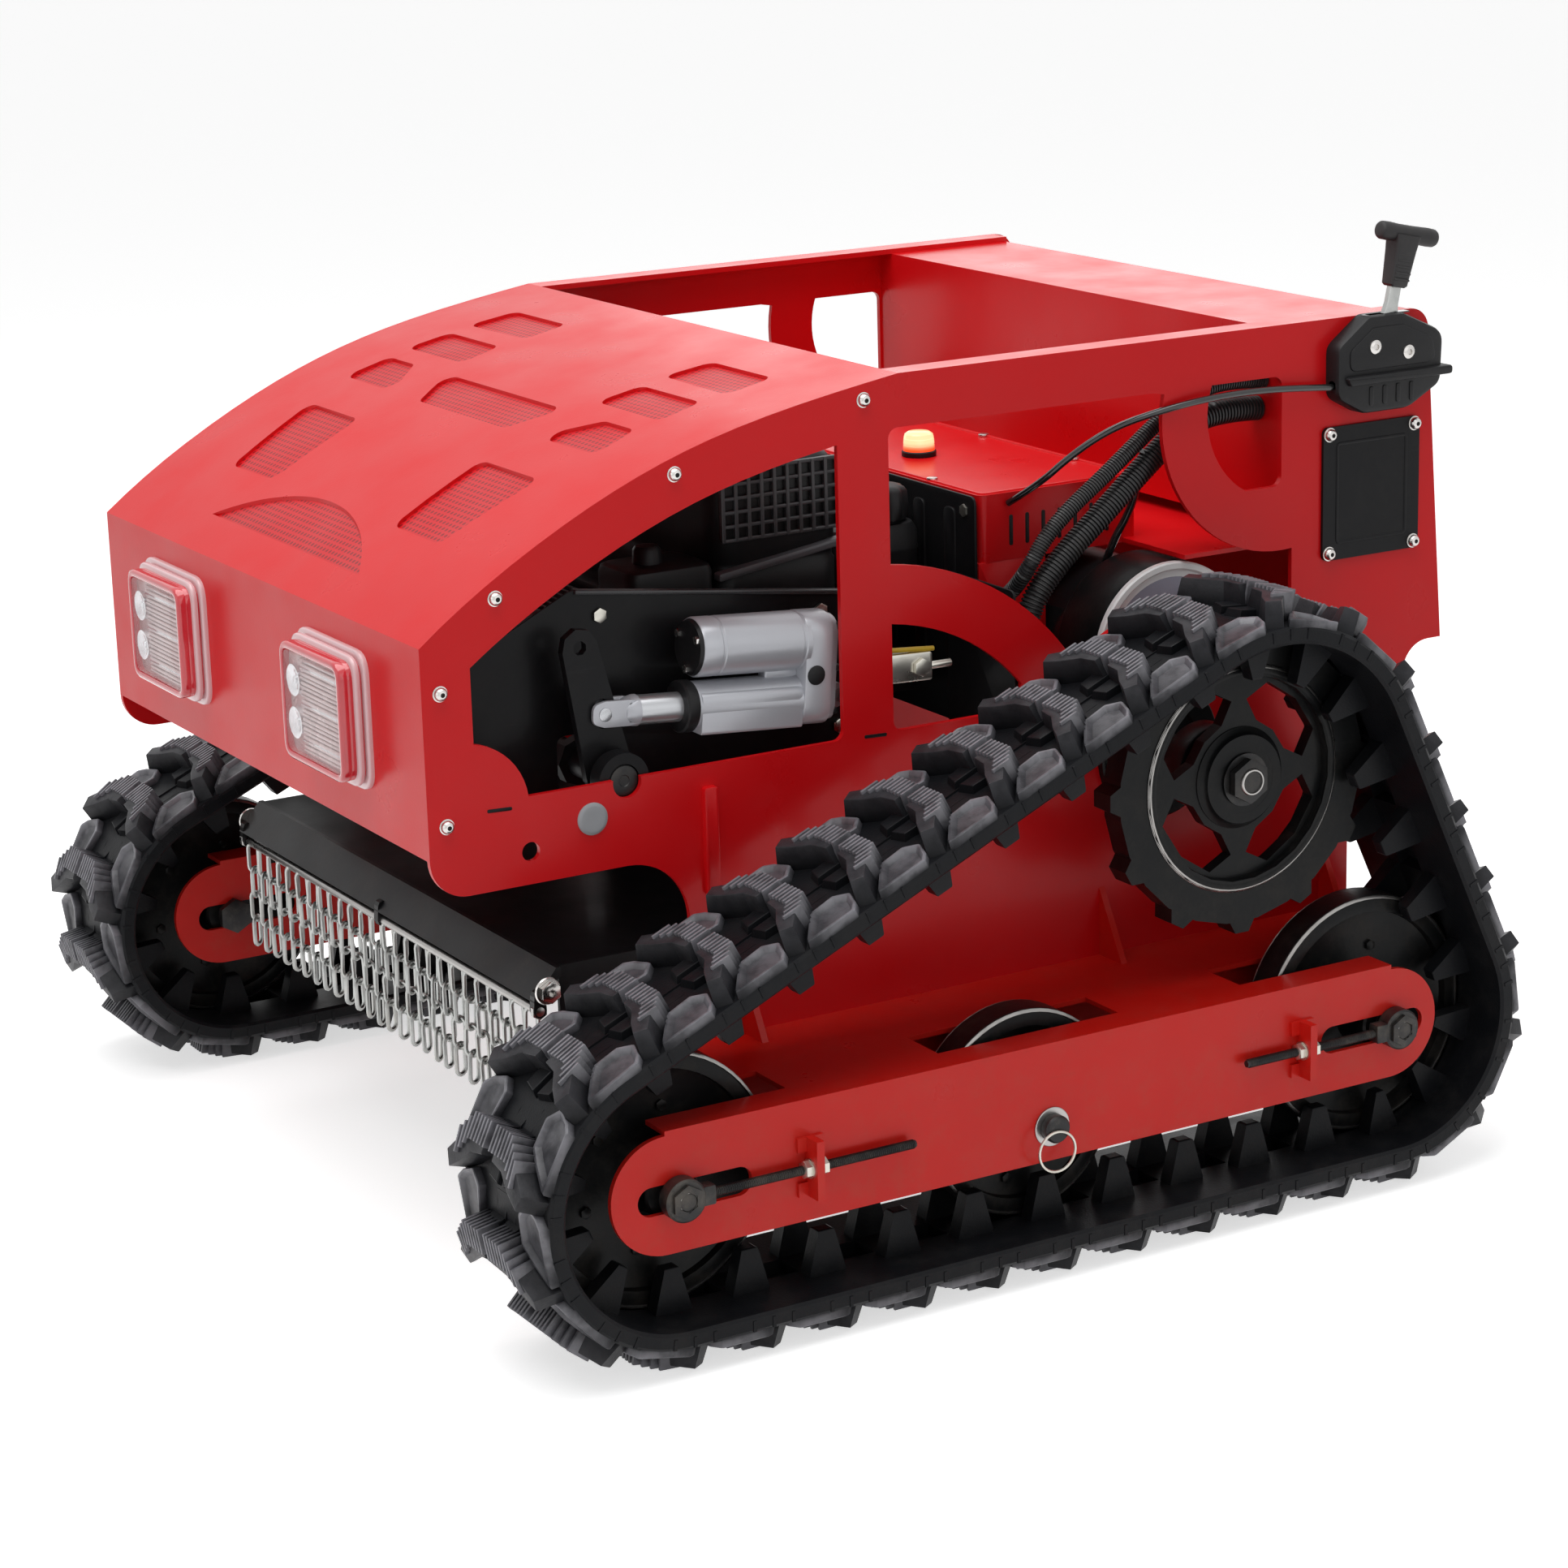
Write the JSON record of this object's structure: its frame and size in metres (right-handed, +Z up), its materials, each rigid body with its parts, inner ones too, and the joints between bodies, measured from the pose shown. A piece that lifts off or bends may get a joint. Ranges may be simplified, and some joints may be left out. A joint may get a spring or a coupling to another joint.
{
  "type": "remote control lawn mower",
  "caption": "Tracked slope mower: red steel hull, vented hood, rubber track belts on sprockets and idlers, lifting cutting deck with chain guard, engine and throttle lever.",
  "frame": {"origin": "centre of the footprint on the ground", "axes": "+Z up, -Y towards the front, +X towards the machine's left side"},
  "size_m": [1.05, 1.0488, 0.8247],
  "materials": {
    "red_coat": "gloss",
    "orange_red_coat": "gloss",
    "black_coat": "satin",
    "grey_coat": "satin",
    "track_rubber": "matte",
    "zinc": "satin",
    "wheel_steel": "satin",
    "shaft_steel": "satin",
    "silver_paint": "satin",
    "engine_aluminium": "cast",
    "black_plastic": "matte",
    "gloss_black_plastic": "gloss",
    "white_paint": "satin",
    "grey_plastic": "matte",
    "lamp_lens": "clear",
    "beacon_red": "gloss",
    "grip_rubber": "matte",
    "chain_steel": "galvanised",
    "mesh_steel": "satin"
  },
  "bodies": {
    "chassis": {"side_plate_left": "red_coat", "side_plate_right": "red_coat", "hood_panel": "red_coat", "hood_mesh": "mesh_steel", "headlamp_bodies": "gloss_black_plastic", "lamp_lenses": "lamp_lens", "rear_box": "red_coat", "cover_plates": "black_coat", "cross_bar": "red_coat", "track_belt_left": "track_rubber", "track_belt_right": "track_rubber", "track_frame_left": "orange_red_coat", "track_frame_right": "orange_red_coat", "gearboxes": "black_coat", "drive_motors": "black_coat", "motor_covers": "white_paint", "adjuster_nuts": "zinc", "roller_pins": "shaft_steel", "pull_rings": "zinc", "pivot_bosses": "red_coat", "actuator_body": "silver_paint", "control_box": "black_coat", "warning_beacon": "beacon_red", "throttle_housing": "grey_plastic", "throttle_cable": "gloss_black_plastic", "cable_conduit": "black_plastic", "body_screws": "zinc", "end_caps": "grey_plastic"},
    "front_arm": {"front_arm": "grey_coat"},
    "deck": {"deck_shell": "grey_coat", "skirt_plate": "grey_coat", "spindle_housing": "engine_aluminium", "engine_block": "engine_aluminium", "engine_shroud": "black_plastic", "fuel_tank": "black_plastic", "muffler": "black_coat", "air_filter": "black_plastic"},
    "rear_arm": {"rear_arm": "grey_coat"},
    "actuator_rod": {"actuator_rod": "zinc"},
    "blade": {"blade_disc": "shaft_steel", "swing_blades": "shaft_steel"},
    "chain_curtain": {"chain_curtain": "chain_steel"},
    "fuel_cap": {"fuel_cap": "black_plastic"},
    "throttle_lever": {"throttle_lever": "zinc", "throttle_grip": "grip_rubber"},
    "sprocket_left": {"sprocket_left": "wheel_steel", "drive_hub_left": "shaft_steel"},
    "front_tensioner_left": {"front_tensioner_left": "zinc"},
    "front_idler_left": {"front_idler_left": "wheel_steel"},
    "rear_tensioner_left": {"rear_tensioner_left": "zinc"},
    "rear_idler_left": {"rear_idler_left": "wheel_steel"},
    "mid_roller_left": {"mid_roller_left": "wheel_steel"},
    "sprocket_right": {"sprocket_right": "wheel_steel", "drive_hub_right": "shaft_steel"},
    "front_tensioner_right": {"front_tensioner_right": "zinc"},
    "front_idler_right": {"front_idler_right": "wheel_steel"},
    "rear_tensioner_right": {"rear_tensioner_right": "zinc"},
    "rear_idler_right": {"rear_idler_right": "wheel_steel"},
    "mid_roller_right": {"mid_roller_right": "wheel_steel"}
  },
  "joints": [
    {"name": "sprocket_spin_left", "type": "hinge", "parent": "chassis", "child": "sprocket_left", "pos_m": [0.45, 0.2065, 0.383], "axis": [1, 0, 0], "continuous": true, "deforming": ["track_belt_left"]},
    {"name": "front_tension_left", "type": "slide", "parent": "chassis", "child": "front_tensioner_left", "axis": [0, 1, 0], "range_m": [0, 0.012]},
    {"name": "front_idler_spin_left", "type": "hinge", "parent": "front_tensioner_left", "child": "front_idler_left", "pos_m": [0.45, -0.37484, 0.148], "axis": [1, 0, 0], "continuous": true},
    {"name": "rear_tension_left", "type": "slide", "parent": "chassis", "child": "rear_tensioner_left", "axis": [0, -1, 0], "range_m": [0, 0.012]},
    {"name": "rear_idler_spin_left", "type": "hinge", "parent": "rear_tensioner_left", "child": "rear_idler_left", "pos_m": [0.45, 0.337, 0.148], "axis": [1, 0, 0], "continuous": true},
    {"name": "mid_roller_spin_left", "type": "hinge", "parent": "chassis", "child": "mid_roller_left", "pos_m": [0.45, -0.022, 0.131], "axis": [1, 0, 0], "continuous": true},
    {"name": "sprocket_spin_right", "type": "hinge", "parent": "chassis", "child": "sprocket_right", "pos_m": [-0.45, 0.2065, 0.383], "axis": [1, 0, 0], "continuous": true, "deforming": ["track_belt_right"]},
    {"name": "front_tension_right", "type": "slide", "parent": "chassis", "child": "front_tensioner_right", "axis": [0, 1, 0], "range_m": [0, 0.012]},
    {"name": "front_idler_spin_right", "type": "hinge", "parent": "front_tensioner_right", "child": "front_idler_right", "pos_m": [-0.45, -0.37484, 0.148], "axis": [1, 0, 0], "continuous": true},
    {"name": "rear_tension_right", "type": "slide", "parent": "chassis", "child": "rear_tensioner_right", "axis": [0, -1, 0], "range_m": [0, 0.012]},
    {"name": "rear_idler_spin_right", "type": "hinge", "parent": "rear_tensioner_right", "child": "rear_idler_right", "pos_m": [-0.45, 0.337, 0.148], "axis": [1, 0, 0], "continuous": true},
    {"name": "mid_roller_spin_right", "type": "hinge", "parent": "chassis", "child": "mid_roller_right", "pos_m": [-0.45, -0.022, 0.131], "axis": [1, 0, 0], "continuous": true},
    {"name": "deck_lift", "type": "hinge", "parent": "chassis", "child": "front_arm", "pos_m": [0, -0.317, 0.437], "axis": [1, 0, 0], "range_deg": [-22, 8]},
    {"name": "deck_level", "type": "hinge", "parent": "front_arm", "child": "deck", "pos_m": [0, -0.117, 0.437], "axis": [1, 0, 0], "range_deg": [-8, 22]},
    {"name": "rear_arm_swing", "type": "hinge", "parent": "chassis", "child": "rear_arm", "pos_m": [0, -0.07, 0.33], "axis": [1, 0, 0], "range_deg": [-22, 8]},
    {"name": "actuator_stroke", "type": "slide", "parent": "chassis", "child": "actuator_rod", "axis": [0, -0.9968, 0.0802], "range_m": [-0.0205, 0.0075]},
    {"name": "blade_spin", "type": "hinge", "parent": "deck", "child": "blade", "pos_m": [0, -0.07, 0.24], "axis": [0, 0, 1], "continuous": true},
    {"name": "chain_swing", "type": "hinge", "parent": "deck", "child": "chain_curtain", "pos_m": [0, -0.391, 0.248], "axis": [1, 0, 0], "range_deg": [-30, 30]},
    {"name": "fuel_cap_turn", "type": "hinge", "parent": "deck", "child": "fuel_cap", "pos_m": [0.146, 0.042, 0.59], "axis": [0, 0, 1], "range_deg": [0, 120]},
    {"name": "throttle_swing", "type": "hinge", "parent": "chassis", "child": "throttle_lever", "pos_m": [0.345, 0.448, 0.722], "axis": [1, 0, 0], "range_deg": [-18, 14]}
  ],
  "couplings": [
    {"joint": "front_idler_spin_left", "follows": "sprocket_spin_left", "ratio": 1.1703},
    {"joint": "rear_idler_spin_left", "follows": "sprocket_spin_left", "ratio": 1.1703},
    {"joint": "mid_roller_spin_left", "follows": "sprocket_spin_left", "ratio": 1.5111},
    {"joint": "front_idler_spin_right", "follows": "sprocket_spin_right", "ratio": 1.1703},
    {"joint": "rear_idler_spin_right", "follows": "sprocket_spin_right", "ratio": 1.1703},
    {"joint": "mid_roller_spin_right", "follows": "sprocket_spin_right", "ratio": 1.5111},
    {"joint": "deck_level", "follows": "deck_lift", "ratio": -1},
    {"joint": "rear_arm_swing", "follows": "deck_lift", "ratio": 1},
    {"joint": "actuator_stroke", "follows": "deck_lift", "m_per_rad": 0.053}
  ]
}
